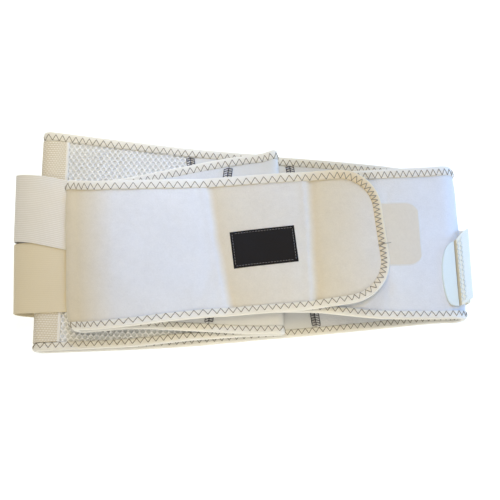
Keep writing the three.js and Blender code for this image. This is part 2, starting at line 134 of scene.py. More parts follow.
class FoldedStrip:
    """A flat strip of cloth on its folded path, which gives each of its points a place."""

    RUN_STEPS = 12
    FOLD_STEPS = 36
    STEP = 0.5
    SOFTENING = 4.0
    slant = ([0.0], [0.0])  # distances along, and how far a crease leans there
    tucks = ()  # distance of a fold, the way into it, and its pull at the bottom and top edges
    TUCK_ALONG = 16.0
    TUCK_ACROSS = 15.0

    def __init__(self, rows, zero_at=None):
        self.path, self.index_of = [], {}
        run = []
        for index, row in enumerate(rows):
            if isinstance(row, Row):
                run.append(row)
                continue
            self.add_run(run)
            self.add_fold(run[-1], row, rows[index + 1])
            run = []
        self.add_run(run)
        self.measure(zero_at)

    def add_run(self, run):
        """A smooth curve through the rows of one layer."""
        knots = np.array([row[:3] for row in run], float)
        knots = np.vstack([2 * knots[0] - knots[1], knots, 2 * knots[-1] - knots[-2]])
        share = np.arange(self.RUN_STEPS)[:, None] / self.RUN_STEPS
        for index, (row, after) in enumerate(zip(run, run[1:])):
            a, b, c, d = knots[index:index + 4]
            ab, bc, cd = (math.sqrt(np.linalg.norm(step)) for step in (b - a, c - b, d - c))
            leave = bc * ((b - a) / ab - (c - a) / (ab + bc) + (c - b) / bc)
            reach = bc * ((c - b) / bc - (d - b) / (bc + cd) + (d - c) / cd)
            bend = 3 * (c - b) - 2 * leave - reach
            twist = 2 * (b - c) + leave + reach
            self.index_of[row] = len(self.path)
            spots = b + leave * share + bend * share**2 + twist * share**3
            self.path.extend(np.hstack([spots, row.lean + (after.lean - row.lean) * share]))
        self.index_of[run[-1]] = len(self.path)
        self.path.append(run[-1])

    def add_fold(self, start, fold, end):
        """Half an ellipse from one layer to the next, as far out as the fold reaches."""
        self.index_of[fold] = len(self.path) + self.FOLD_STEPS // 2 - 1
        share = np.arange(1, self.FOLD_STEPS)[:, None] / self.FOLD_STEPS
        turn = math.pi * (share - 0.5)
        bow = 1 - np.abs(2 * share - 1)
        x, y, _, lean = (a + (b - a) * share for a, b in zip(start, end))
        x = x + (fold.x - x) * np.cos(turn)
        y = y + (fold.y - y) * bow
        z = (start.z + end.z) / 2 + (end.z - start.z) / 2 * np.sin(turn)
        self.path.extend(np.hstack([x, y, z, lean + (fold.lean - lean) * bow]))

    def measure(self, zero_at):
        """Puts points at even steps along the path and softens its corners."""
        path = np.array(self.path, float)
        path[:, 3] = np.radians(path[:, 3])
        steps = np.linalg.norm(np.diff(path[:, :3], axis=0), axis=1)
        walked = np.concatenate([[0], np.cumsum(steps)])
        zero = walked[self.index_of[zero_at]] if zero_at else 0
        self.distance_of = {row: walked[index] - zero for row, index in self.index_of.items()}
        even = np.arange(0, walked[-1], self.STEP)
        path = np.stack([np.interp(even, walked, column) for column in path.T], -1)
        reach = int(self.SOFTENING / self.STEP)
        path = np.pad(path, ((reach, reach), (0, 0)), mode="reflect", reflect_type="odd")
        kernel = np.hanning(2 * reach + 3)[1:-1]
        kernel /= kernel.sum()
        path = np.stack([np.convolve(column, kernel, mode="valid") for column in path.T], -1)
        self.distance = even - zero
        self.points, turn = path[:, :3], path[:, 3]
        self.across = np.stack([-np.sin(turn), np.cos(turn), np.zeros(len(turn))], -1)
        padded = np.vstack([self.points[:1], self.points, self.points[-1:]])
        self.forward = unit(padded[2:] - padded[:-2])

    def slanted(self, along, across):
        """The distance along at which a point takes its height, beside slanted creases."""
        return along + across * np.interp(along, *self.slant)

    def tucked(self, along, across):
        """How far a point near the edge of a fold is drawn into the fold."""
        shift = 0.0 * along
        for distance, way, bottom, top in self.tucks:
            near = np.exp(-(((along - distance) / self.TUCK_ALONG) ** 2))
            to_edge = np.maximum(half_height(along) - np.abs(across), 0)
            share = np.maximum(1 - to_edge / self.TUCK_ACROSS, 0) ** 2
            shift = shift + way * np.where(across < 0, bottom, top) * near * share
        return shift

    def place(self, along, across, outward):
        """Places in the frame, in metres, of points along, across and out of the flat strip."""
        along, across, outward = np.broadcast_arrays(along, across, outward)

        def at(values):
            return np.stack([np.interp(along, self.distance, column) for column in values.T], -1)

        over = at(self.across)
        out = unit(np.cross(at(self.forward), over))
        middle = at(self.points)
        middle[..., 2] = np.interp(self.slanted(along, across), self.distance, self.points[:, 2])
        middle[..., 0] += self.tucked(along, across)
        spot = middle + over * across[..., None] + out * outward[..., None]
        return (spot + path_origin) * MM


band = FoldedStrip(BAND_PATH, zero_at=CENTRE_BACK)
CREASE_SLANT = {FIRST_CREASE: 0.10, SECOND_CREASE: -0.04}
CREASE_REACH = np.array([-35, -12, 12, 35])
band.slant = (
    np.concatenate([band.distance_of[crease] + CREASE_REACH for crease in CREASE_SLANT]),
    np.concatenate([[0, slant, slant, 0] for slant in CREASE_SLANT.values()]),
)
band.tucks = (
    (band.distance_of[RIGHT_FOLD], -1, 2.5, 3.0),
    (band.distance_of[TAIL_FOLD], -1, 0.5, 2.0),
    (band.distance_of[LEFT_FOLD], 1, 8.0, 2.5),
)

HALF_LENGTH = 699.5
END_CORNER = 38
CORNER_START = HALF_LENGTH - END_CORNER
EDGE_INSET = 1.3  # the cloth ends inside the fold of the binding
HALF_HEIGHT = {  # distance from the centre back: half of the height on the left and on the right
    0: (103.5, 103.5),
    90: (95.5, 97.5),
    135: (90, 94),
    190: (85.5, 88.5),
    260: (82, 82.5),
    310: (75.5, 77.5),
    360: (69, 71.5),
    410: (68.3, 69.5),
    460: (65.8, 68.3),
    520: (62.9, 64.5),
    570: (62.4, 63),
    620: (62.2, 62.3),
    CORNER_START: (60.5, 60.5),
    HALF_LENGTH: (60.5, 60.5),
}
OUTLINE_SOFTENING = 31
outline_at = np.arange(-HALF_LENGTH, HALF_LENGTH + 1)
outline_from = np.array(list(HALF_HEIGHT))
left_half, right_half = np.array(list(HALF_HEIGHT.values()), float).T
outline = np.interp(
    outline_at,
    np.concatenate([-outline_from[:0:-1], outline_from]),
    np.concatenate([right_half[:0:-1], left_half]),
)
outline = np.pad(outline, OUTLINE_SOFTENING // 2, mode="edge")
outline = np.convolve(outline, np.full(OUTLINE_SOFTENING, 1 / OUTLINE_SOFTENING), mode="valid")


def half_height(along):
    return np.interp(along, outline_at, outline)


def cloth_half_height(along):
    """Half height of the cloth inside the binding, with rounded wing ends."""
    into_corner = np.maximum(np.abs(along) - CORNER_START, 0)
    rise = np.sqrt(np.maximum((END_CORNER - EDGE_INSET) ** 2 - into_corner**2, 0))
    return half_height(along) - END_CORNER + rise


SEAMS = {  # distance along the band at the bottom and at the top edge
    "right_wing": np.array([-252, -229]),
    "right_mesh": np.array([-160, -137]),
    "left_mesh": np.array([160, 137]),
    "left_wing": np.array([294, 267]),
}
CLOTH_STEP = 2.0


def level_of(along, across):
    """Share of the band's height at which a point lies, from its bottom edge."""
    return (across / half_height(along) + 1) / 2


def at_level(line, level):
    """Distance along of a line across the band, at that level."""
    return line[..., 0] + (line[..., 1] - line[..., 0]) * level


def lines_between(start, finish):
    """Lines across the band, each as its distances at the bottom and at the top edge."""
    count = math.ceil(np.abs(finish - start).max() / CLOTH_STEP) + 1
    return start + (finish - start) * np.linspace(0, 1, count)[:, None]


def panel_grid(lines, columns):
    """Flat places of a panel's points, up to the inside of the binding."""
    share = np.linspace(-1, 1, columns)
    along = at_level(lines[:, None], (share + 1) / 2)
    return along, share * cloth_half_height(along)


def closed_sheet(place, along, across, out, back):
    """Points, faces and flat places of a cloth with two faces and a rim."""
    heights = np.stack([out + 0 * along, -back + 0 * along])
    points = place(along, across, heights).reshape(-1, 3)
    flat = np.stack(np.broadcast_arrays(along, across, heights), -1).reshape(-1, 3)
    ids = np.arange(along.size).reshape(along.shape)
    outer = np.stack([ids[:-1, :-1], ids[1:, :-1], ids[1:, 1:], ids[:-1, 1:]], -1).reshape(-1, 4)
    inner = outer[:, ::-1] + along.size
    rim = np.concatenate([ids[:-1, 0], ids[-1, :-1], ids[:0:-1, -1], ids[0, :0:-1]])
    after = np.roll(rim, -1)
    wall = np.stack([after, rim, rim + along.size, after + along.size], -1)
    return points, np.concatenate([outer, inner, wall]).tolist(), flat


def in_scene(name, data):
    """A new object with that data, in the scene."""
    made = bpy.data.objects.new(name, data)
    bpy.context.scene.collection.objects.link(made)
    return made


def add_piece(name, shape, finish, replaces=()):
    """A smooth mesh piece that knows its flat places in millimetres."""
    points, faces, flat = shape
    mesh = bpy.data.meshes.new(name)
    mesh.from_pydata(points.tolist(), [], faces)
    mesh.shade_smooth()
    mesh.materials.append(finish)
    mesh.attributes.new("flat", "FLOAT_VECTOR", "POINT").data.foreach_set("vector", flat.ravel())
    piece = in_scene(name, mesh)
    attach(piece, "root")
    if replaces:
        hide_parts(*replaces)
    return piece


def colour(code):
    """A web colour as linear red, green, blue and alpha."""
    parts = [int(code[i:i + 2], 16) / 255 for i in (0, 2, 4)]
    return [p / 12.92 if p <= 0.04045 else ((p + 0.055) / 1.055) ** 2.4 for p in parts] + [1]


class Shade:
    """A node socket, so that shader maths is written as plain expressions."""

    def __init__(self, tree, socket=None):
        self.tree, self.socket = tree, socket

    def node(self, kind, sockets, output=0, **settings):
        """Adds a node, sets it, then gives its sockets their values or links."""
        made = self.tree.nodes.new("ShaderNode" + kind)
        for name, value in settings.items():
            setattr(made, name, value)
        for name, value in sockets.items():
            if isinstance(value, Shade):
                self.tree.links.new(value.socket, made.inputs[name])
            else:
                made.inputs[name].default_value = value
        return Shade(self.tree, made.outputs[output])

    def maths(self, operation, first, second=0.0):
        return self.node("Math", {0: first, 1: second}, operation=operation)

    def __add__(self, other):
        return self.maths("ADD", self, other)

    def __sub__(self, other):
        return self.maths("SUBTRACT", self, other)

    def __rsub__(self, other):
        return self.maths("SUBTRACT", other, self)

    def __mul__(self, other):
        return self.maths("MULTIPLY", self, other)

    def noise(self, size, detail=2.0):
        """Even noise from 0 to 1, with patches of that size, over a place in millimetres."""
        return self.node("TexNoise", {"Vector": self, "Scale": 1 / size, "Detail": detail})

    def axis(self, name):
        return self.node("SeparateXYZ", {0: self}, "XYZ".index(name))

    def wave(self, period):
        """A smooth wave from -1 to 1 over a length in millimetres."""
        return self.maths("SINE", self * (math.tau / period))

    def over(self, limit):
        return self.maths("GREATER_THAN", self, limit)

    def clamped(self):
        return self.node("Clamp", {0: self})

    def within(self, start, rise, end, fade):
        """1 from start to end, with the lengths of its rise and its fade."""
        return ((self - start) * (1 / rise)).clamped() * ((end - self) * (1 / fade)).clamped()

    def between(self, low, high):
        """Mixes two colours, each a web colour or a shade, by this share."""
        low, high = (colour(tone) if isinstance(tone, str) else tone for tone in (low, high))
        return self.node("Mix", {0: self, 6: low, 7: high}, 2, data_type="RGBA")


CLOTH_SHINE = 0.25


def new_material(name, look):
    """A material whose shader has those values."""
    material = bpy.data.materials.new(name)
    material.use_nodes = True
    for socket, value in look.items():
        material.node_tree.nodes["Principled BSDF"].inputs[socket].default_value = value
    return material


def new_finish(name, roughness, sheen):
    """A cloth's material, and the flat place on the cloth in millimetres."""
    look = {"Roughness": roughness, "Sheen Weight": sheen, "Specular IOR Level": CLOTH_SHINE}
    material = new_material(name, look)
    return material, Shade(material.node_tree).node("Attribute", {}, 1, attribute_name="flat")


def feed(material, base, height=None, depth=0.0):
    """Links a colour, and a height from 0 to 1 as a bump of that depth in millimetres."""
    sockets = material.node_tree.nodes["Principled BSDF"].inputs
    base.tree.links.new(base.socket, sockets["Base Color"])
    if height is not None:
        bump = base.node("Bump", {"Height": height, "Distance": depth * MM, "Strength": 1.0})
        base.tree.links.new(bump.socket, sockets["Normal"])
    return material


def cloth_grain(flat, size):
    """An even fuzz, and the same with slow patches over it."""
    fuzz = flat.noise(size, 3.0)
    return fuzz, fuzz * 0.4 + flat.noise(4.0) * 0.3 + flat.noise(26.0) * 0.3


def knit_finish(name, light, dark, grain, depth, roughness=0.9):
    """A soft cloth with a grain of two near colours."""
    material, flat = new_finish(name, roughness, 0.2)
    fuzz, share = cloth_grain(flat, grain)
    return feed(material, share.between(dark, light), fuzz, depth)


MESH_THICKNESS = 3
MESH_PITCH = 5.05  # between holes of one row
MESH_ROW = 3.54    # between rows, and each row is half a pitch beside the last
HOLE_WIDTH = 3.5
HOLE_HEIGHT = 3.55
HOLE_DEPTH = 1.1
HOLE_POINTS = 8
SHOULDER = 0.22    # a yarn's shoulder, as a share of the way from the hole to the next cell
SHOULDER_DROP = 0.12
NET_MARGIN = 4.5   # the net ends under the binding and in the seams
BACK_LAP = 0.1     # the closed layer reaches this far up into the holes
BACK_COLUMNS = 60


def ring_quads(a, b):
    """Faces between closed rings of points and the next rings."""
    return np.stack([a, np.roll(a, -1, -1), np.roll(b, -1, -1), b], -1).reshape(-1, 4)


def mesh_net():
    """The net: one diamond cell round each hole, rounded over into the hole."""
    rows = int(outline.max() / MESH_ROW) + 1
    columns = int(SEAMS["left_mesh"].max() / MESH_PITCH) + 1
    row, column = np.mgrid[-rows:rows + 1, -columns:columns + 1]
    along = ((column + row % 2 / 2) * MESH_PITCH).ravel()
    across = (row * MESH_ROW).ravel()
    inside = np.abs(along) < at_level(SEAMS["left_mesh"], level_of(along, across))
    inside &= np.abs(across) < half_height(along) - NET_MARGIN
    centre = np.stack([along, across], -1)[inside][:, None]

    angle = np.arange(HOLE_POINTS) * math.tau / HOLE_POINTS
    ring = np.stack([np.cos(angle), np.sin(angle)], -1)
    diamond = ring / np.abs(ring).sum(-1, keepdims=True) * [MESH_PITCH / 2, MESH_ROW]
    hole = ring * [HOLE_WIDTH / 2, HOLE_HEIGHT / 2]
    border = (centre + diamond).reshape(-1, 2)
    key = np.round(border * HOLE_POINTS / [MESH_PITCH, MESH_ROW]).astype(int)
    _, first, shared = np.unique(key, axis=0, return_index=True, return_inverse=True)
    border = border[first]
    shoulder = centre + diamond * SHOULDER + hole * (1 - SHOULDER)
    points, flat = [], []
    for places, drop in ((border, 0), (shoulder, SHOULDER_DROP), (centre + hole, HOLE_DEPTH)):
        along, across = places.reshape(-1, 2).T
        height = np.full(along.shape, MESH_THICKNESS / 2 - drop)
        points.append(band.place(along, across, height))
        flat.append(np.stack([along, across, height], -1))

    shape = (len(centre), HOLE_POINTS)
    shoulder_ids = len(border) + np.arange(len(centre) * HOLE_POINTS).reshape(shape)
    walls = ring_quads(shared.reshape(shape), shoulder_ids)
    quads = np.concatenate([walls, ring_quads(shoulder_ids, shoulder_ids + shoulder_ids.size)])
    return np.concatenate(points), quads.tolist(), np.concatenate(flat)


mesh_yarn = knit_finish("mesh_yarn", "ffffff", "f6f6f5", 0.5, 0.1)
# The back layer's grey, darker than the yarn, is painted shade in the holes.
mesh_back_painted_shade = knit_finish("mesh_back_painted_shade", "e0e2e1", "d4d6d5", 0.7, 0.15)
back_net = add_piece("back_mesh_net", mesh_net(), mesh_yarn, ["back_mesh_panel"])
back_lines = lines_between(SEAMS["right_mesh"], SEAMS["left_mesh"])
back_top = MESH_THICKNESS / 2 - HOLE_DEPTH + BACK_LAP
back_shape = closed_sheet(band.place, *panel_grid(back_lines, BACK_COLUMNS), back_top, MESH_THICKNESS / 2)
back_layer = add_piece("back_mesh_layer", back_shape, mesh_back_painted_shade, ["back_mesh_panel"])
back_width = 2 * SEAMS["left_mesh"].mean()
back_cut = (back_width * MM, 2 * half_height(0) * MM)

# Side panels
# Smooth elastic knit between the mesh back and the wings, thinner than both.
# They are cut with slanted ends and sewn edge to edge to the panels beside them.

SIDE_THICKNESS = 2
SIDE_COLUMNS = 70
SIDE_WAVES = [(0.12, 22, 0.4)]  # depth, size and seed
WAVE_SIZES = (0.7, 0.93, 1.16, 1.39, 1.62)
WAVE_TURN = 2.4  # from one wave's direction to the next
WAVE_PHASE = 1.7
WAVE_PEAK = 3    # about the most that the waves reach together
SEAM_GAP = 0.1  # between a panel's end and the seam's line


def cloth_area(low, high):
    """Flat area, in square metres, of the band between two distances."""
    inside = (outline_at > low) & (outline_at < high)
    return (high - low) * 2 * outline[inside].mean() * MM * MM


def turned(x, y, angle):
    """A flat place, turned about the middle."""
    return x * math.cos(angle) - y * math.sin(angle), x * math.sin(angle) + y * math.cos(angle)


def soft_waves(along, across, waves):
    """Gentle unevenness of laid cloth, from crossing waves."""
    total = 0.0
    for depth, size, seed in waves:
        for step, share in enumerate(WAVE_SIZES):
            ahead = turned(along, across, -seed - WAVE_TURN * step)[0]
            phase = ahead * math.tau / (size * share) + WAVE_PHASE * step * seed
            total = total + depth / WAVE_PEAK * np.sin(phase)
    return total


def panel_sheet(along, across, thickness, rise):
    """A panel's cloth, whose two faces rise and sink together."""
    return closed_sheet(band.place, along, across, thickness / 2 + rise, thickness / 2 - rise)


side_knit = knit_finish("side_knit", "f1f1ef", "e6e6e4", 0.6, 0.1)
side_panels = {}
for side, first, last in (("right", "right_wing", "right_mesh"), ("left", "left_mesh", "left_wing")):
    lines = lines_between(SEAMS[first] + SEAM_GAP, SEAMS[last] - SEAM_GAP)
    grid = panel_grid(lines, SIDE_COLUMNS)
    shape = panel_sheet(*grid, SIDE_THICKNESS, soft_waves(*grid, SIDE_WAVES))
    piece = add_piece(f"{side}_side_knit", shape, side_knit, [f"{side}_side_panel"])
    low, high = SEAMS[first].mean(), SEAMS[last].mean()
    side_cut = (2 * half_height(low if side == "left" else high) * MM, (high - low) * MM)
    rest = "strap_lower" if side == "right" else back_layer
    cloth_area(low, high)
    side_panels[side] = piece

# Wings
# Long smooth ends of a brushed foam laminate, which close over the belly.
# The left one is the flap on top of the roll, with two soft creases; the right one lies under it.

WING_THICKNESS = 3
WING_COLUMNS = 72
WING_WAVES = [(0.22, 38, 0.9), (0.07, 9, 2.1)]
EDGE_PINCH = 0.55  # the stitched binding presses the laminate's edge down
EDGE_PINCH_FROM = 8
EDGE_PINCH_REACH = 12
CREASE_DEPTH = {FIRST_CREASE: 0.65, SECOND_CREASE: 0.95}  # a low ridge with a shallow valley beside it
CREASE_WIDTH = 3.5
WRINKLES = [  # place along and across, direction, half length, half width and depth
    (541, -32, 70, 15, 5.0, 1.0),
    (520, -17, 10, 22, 6.0, 0.6),
    (606, -36, 80, 16, 5.0, 0.5),
    (-461, -42, 88, 14, 3.0, 0.8),
    (-458, 38, 80, 11, 3.0, 0.6),
]
SEAM_FLAT = 5.0
SEAM_BLEND = 25.0
ROUND_STEPS = 16


def wing_lines(side):
    """Lines across a wing from its seam to its end, closer round the corners."""
    end = 1 if side == "left" else -1
    seam = SEAMS[f"{side}_wing"] + end * SEAM_GAP
    straight = lines_between(seam, np.array([end * CORNER_START] * 2))
    angle = np.linspace(0, math.pi / 2, ROUND_STEPS)[1:, None]
    rounded = end * (CORNER_START + (END_CORNER - EDGE_INSET) * np.sin(angle)) * np.ones(2)
    lines = np.concatenate([straight, rounded])
    return lines if end > 0 else lines[::-1]


def free_of_seam(along, across):
    """Share of its waves that a wing has: none along its flat seam, all further on."""
    seam = np.where(along[..., None] > 0, SEAMS["left_wing"], SEAMS["right_wing"])
    away = np.abs(along - at_level(seam, level_of(along, across)))
    return np.clip((away - SEAM_FLAT) / SEAM_BLEND, 0, 1)


def wing_rise(along, across):
    """Rise of a wing's outer face: pinched edge, creases, wrinkles and soft waves."""
    to_edge = cloth_half_height(along) - np.abs(across)
    inside = np.maximum(to_edge - EDGE_PINCH_FROM, 0)
    rise = -EDGE_PINCH * np.exp(-((inside / EDGE_PINCH_REACH) ** 2))
    for crease, depth in CREASE_DEPTH.items():
        away = (band.slanted(along, across) - band.distance_of[crease]) / CREASE_WIDTH
        rise = rise + depth * (np.exp(-((away + 1) ** 2)) - np.exp(-((away - 1) ** 2)))
    for place, level, direction, length, width, depth in WRINKLES:
        ahead, beside = turned(along - place, across - level, -math.radians(direction))
        rise = rise - depth * np.exp(-((ahead / length) ** 2) - (beside / width) ** 2)
    return (rise + soft_waves(along, across, WING_WAVES)) * free_of_seam(along, across)


SHADE_CAST_RISE = 7.0  # length over which a painted shade cast comes in
PAINTED_SHADE_CASTS = [  # painted shade beside the creases and on the left fold: start, end, share and slant
    (400, 464, 1.9, 0),
    (551, 628, 1.0, CREASE_SLANT[FIRST_CREASE]),
    (632, 708, 0.95, CREASE_SLANT[SECOND_CREASE]),
]


def laminate_finish():
    """Brushed white laminate, with a creamier painted shade beside the flap's creases and on its left
    fold.
    """
    material, flat = new_finish("brushed_laminate", 0.9, 0.35)
    fuzz, grain = cloth_grain(flat, 1.3)
    uneven = flat.noise(30.0) * 6.0 - 3.0
    # A creamier colour painted as shade on the slopes beside the creases and on the left fold.
    painted_shade = uneven * 0
    for start, end, share, slant in PAINTED_SHADE_CASTS:
        along = flat.axis("X") + flat.axis("Y") * slant + uneven
        painted_shade = painted_shade + along.within(start, SHADE_CAST_RISE, end, end - start) * share
    plain = grain.between("dadada", "f7f7f7")
    shade_cream = grain.between("d8cdb4", "f4e9d0")
    return feed(material, painted_shade.between(plain, shade_cream), fuzz, 0.2)


brushed_laminate = laminate_finish()
wings = {}
for side in ("right", "left"):
    grid = panel_grid(wing_lines(side), WING_COLUMNS)
    shape = panel_sheet(*grid, WING_THICKNESS, wing_rise(*grid))
    piece = add_piece(f"{side}_wing_laminate", shape, brushed_laminate, [f"{side}_wing"])
    seam = SEAMS[f"{side}_wing"].mean()
    low, high = sorted((seam, math.copysign(HALF_LENGTH, seam)))
    wing_cut = (2 * half_height(seam) * MM, (high - low) * MM)
    rest = back_layer if side == "right" else wings["right"]
    cloth_area(low, high)
    wings[side] = piece

# Panel seams
# The panels meet edge to edge and are joined by a flat seam of dark grey thread on both faces:
# three long lines, with rungs of looping thread between them, like a ladder.

SEAM_HALF_WIDTH = 3.6
SEAM_RUNG = 2.2
SEAM_THREAD = 0.34
SEAM_LIFT = 0.15
RUNG_LIFT = 0.25
RUNG_SLANT = 0.5
BINDING_WIDTH = 9
THREAD_STEPS = 4


def tubes(points, normals, radius, sides=6):
    """Many closed tubes at once; points are (tube, step, 3)."""
    count, steps = points.shape[:2]
    forward = unit(np.gradient(points, axis=1))
    beside = unit(np.cross(forward, normals))
    up = np.cross(beside, forward)
    angle = np.arange(sides) * math.tau / sides
    spread = np.cos(angle)[:, None] * beside[:, :, None] + np.sin(angle)[:, None] * up[:, :, None]
    rings = points[:, :, None] + np.broadcast_to(radius, steps)[:, None, None] * MM * spread
    ids = np.arange(count * steps * sides).reshape(count, steps, sides)
    walls = ring_quads(ids[:, :-1], ids[:, 1:])
    caps = np.concatenate([ids[:, 0, ::-1], ids[:, -1]])
    rings = rings.reshape(-1, 3)
    return rings, walls.tolist() + caps.tolist(), rings / MM


def join(shapes):
    """Several shapes as one."""
    points, faces, flat, start = [], [], [], 0
    for more_points, more_faces, more_flat in shapes:
        points.append(more_points)
        flat.append(more_flat)
        faces.extend([[index + start for index in face] for face in more_faces])
        start += len(more_points)
    return np.concatenate(points), faces, np.concatenate(flat)


def sewn(strip, along, across, height, face, radius):
    """Threads on a strip: places are (thread, step), and face is 1 outside or -1 inside."""
    points = strip.place(along, across, face * height)
    normals = unit(strip.place(along, across, face * (height + 1)) - points)
    return tubes(points, normals, radius)


def thread_finish(name, light, dark):
    """A twisted sewing thread."""
    material, flat = new_finish(name, 0.7, 0.2)
    return feed(material, flat.noise(1.3).between(dark, light))


def ladder_seam(seam, face):
    """Threads of one seam on one face, between the two bindings."""
    low, high = half_height(SEAMS[seam])
    across = np.arange(BINDING_WIDTH - low, high - BINDING_WIDTH, SEAM_RUNG)
    along = at_level(SEAMS[seam], (across + low) / (low + high))
    height = MESH_THICKNESS / 2
    lines = np.array([-1, 0, 1])[:, None] * SEAM_HALF_WIDTH
    shapes = [sewn(band, along + lines, across + 0 * lines, height + SEAM_LIFT, face, SEAM_THREAD)]
    reach = np.linspace(0, 1, THREAD_STEPS)
    for start, slant in ((-1, RUNG_SLANT), (0, -RUNG_SLANT)):
        rung_along = along[:, None] + (start + reach) * SEAM_HALF_WIDTH
        rung_across = across[:, None] + slant * SEAM_RUNG * (reach - 0.5)
        shapes.append(sewn(band, rung_along, rung_across, height + RUNG_LIFT, face, SEAM_THREAD))
    return join(shapes)


seam_thread = thread_finish("seam_thread", "55515c", "38353f")
seam_shapes = [ladder_seam(seam, face) for seam in SEAMS for face in (1, -1)]
add_piece("panel_seam_stitches", join(seam_shapes), seam_thread)

# Centre tape
# A cream ribbed tape sewn over the centre back, on the outer face of the mesh.
# Its ribs run from edge to edge, and each edge is a smooth white selvedge.

TAPE_WIDTH = 52
TAPE_THICKNESS = 1
TAPE_GAP = 0.3
TAPE_RIB = 2.0
TAPE_WEAVE = 2.5
TAPE_WEAVE_SHARE = 0.55
TAPE_RELIEF = 0.4
TAPE_ROLL = 1.0
TAPE_STEP = 0.5
SELVEDGE = 2.4
LOWER_FOLD = 0.8  # at the band's lower edge the binding is folded with a narrower leg on each face


def edge_roll(to_edge, roll, least=0.0):
    """Share of the thickness near a rolled edge: least at the edge, 1 inside the roll."""
    return least + (1 - least) * np.sqrt(1 - (1 - np.clip(to_edge / roll, 0, 1)) ** 2)


def tape_shape():
    """A tape with woven ribs across it and flat edges."""
    half = TAPE_WIDTH / 2
    base = MESH_THICKNESS / 2 + TAPE_GAP
    along = np.linspace(-half, half, int(TAPE_WIDTH / TAPE_STEP) + 1)
    share = np.linspace(0, 1, 2 * int(half_height(0) / TAPE_STEP))
    along, share = np.meshgrid(along, share, indexing="ij")
    low = BINDING_WIDTH * LOWER_FOLD + TAPE_GAP - half_height(along)
    high = half_height(along) - BINDING_WIDTH - TAPE_GAP
    across = low + (high - low) * share
    rib = np.floor(across / TAPE_RIB)
    ribbed = np.abs(np.sin(math.pi * across / TAPE_RIB))
    woven = 0.5 + 0.5 * np.cos(math.tau * (along / TAPE_WEAVE + 0.5 * rib))
    flat_edge = np.abs(along) > half - SELVEDGE
    crown = ribbed * (1 - TAPE_WEAVE_SHARE + TAPE_WEAVE_SHARE * woven)
    relief = np.where(flat_edge, 0.0, TAPE_RELIEF * (crown - 0.5))
    top = base + (TAPE_THICKNESS + relief) * edge_roll(half - np.abs(along), TAPE_ROLL, 0.25)
    return closed_sheet(band.place, along, across, top, -base)


def tape_finish():
    """Cream yarn, darker in the grooves of the weave as painted shade, with white edges."""
    material, flat = new_finish("ribbed_tape", 0.85, 0.2)
    lowest = MESH_THICKNESS / 2 + TAPE_GAP + TAPE_THICKNESS - TAPE_RELIEF / 2
    # The colour darkens with depth into the weave's grooves, as painted shade.
    crown = (flat.axis("Z") - lowest) * (1 / TAPE_RELIEF)
    cream = crown.between("d4c8ae", "fdf9f0")
    edge = flat.maths("ABSOLUTE", flat.axis("X")).over(TAPE_WIDTH / 2 - SELVEDGE)
    return feed(material, edge.between(cream, "f6f3ec"), flat.noise(0.5), 0.08)


centre_tape = add_piece("center_tape_weave", tape_shape(), tape_finish(), ["center_tape"])
tape_cut = (TAPE_WIDTH * MM, (2 * half_height(0) - BINDING_WIDTH * (1 + LOWER_FOLD)) * MM)

# Binding
# One fold-over elastic tape runs round the whole edge of the band and holds it between two legs.
# A zigzag of grey-brown thread sews both legs down, and its tips reach just past the inner edge.

BINDING_SECTION = [  # inward from the outer edge, and rise over the cloth's face as a share
    (9.0, 0.10),
    (8.8, 0.62),
    (7.6, 0.84),
    (5.6, 0.96),
    (3.6, 1.10),
    (2.0, 1.06),
    (0.9, 0.66),
]
BINDING_NOSE = [(0.25, 0.62), (0.0, 0.0)]  # inward, and height as a share of the cloth's half thickness
BINDING_STEP = 1.9
BINDING_INSIDE = ((9.0, -1), (1.0, -1), (1.0, 1), (9.0, 1))  # inward, and the face of the cloth
BINDING_GAP = 0.04
STITCH_OUT = 3.1
STITCH_IN = 8.8
PAST_BINDING = 9.2  # from here inward, the stitches lie on the panels
STITCH_LIFT = np.array([-0.1, 0.16, 0.24, 0.24, 0.16, -0.1])  # from tip to tip
STITCH_SWELL = np.array([1.25, 1, 1, 1, 1, 1.25])
STITCH_SIDES = 5
STITCH_PITCH = {  # the stitches lie closer where the elastic gathers at folds and round the ends
    "bottom": {
        -HALF_LENGTH: 4.4, -690: 6.0, -480: 6.7, -425: 6.5, -395: 4.8, -300: 6.0, -60: 7.0, 0: 6.8,
        220: 6.6, 395: 7.2, 410: 5.7, 445: 5.9, 460: 7.9, 540: 7.6, 570: 6.8, 650: 6.6, 690: 6.0,
        HALF_LENGTH: 4.4,
    },
    "top": {
        -HALF_LENGTH: 4.4, -690: 6.0, -480: 6.0, -400: 5.2, -300: 6.0, -60: 7.0, 0: 6.2, 40: 6.2,
        70: 7.2, 180: 6.4, 235: 5.2, 260: 6.2, 395: 6.6, 410: 5.6, 445: 5.8, 460: 7.9, 650: 7.4,
        690: 6.0, HALF_LENGTH: 4.4,
    },
}
STITCH_THREAD = 0.3
PUCKER = 0.16
PUCKER_FROM = 2
PUCKER_REACH = 6
BINDING_PAINTED_SHADE = (1330, 1530)  # painted shade: the binding is creamier between these lengths, round the flap's end
BINDING_SHADE_BLEND = 70.0
LOOSE_PLACE = (690.5, -13)
LOOSE_LENGTH = 11.2
LOOSE_DRIFT = 1.6
LOOSE_WAVE = 0.5
LOOSE_LIFT = 1.2
LOOSE_CURL = 1.5
LOOSE_THREAD = 0.24
TAIL_CORNER_FLARE = 3.5
TAIL_CORNER_REACH = 11


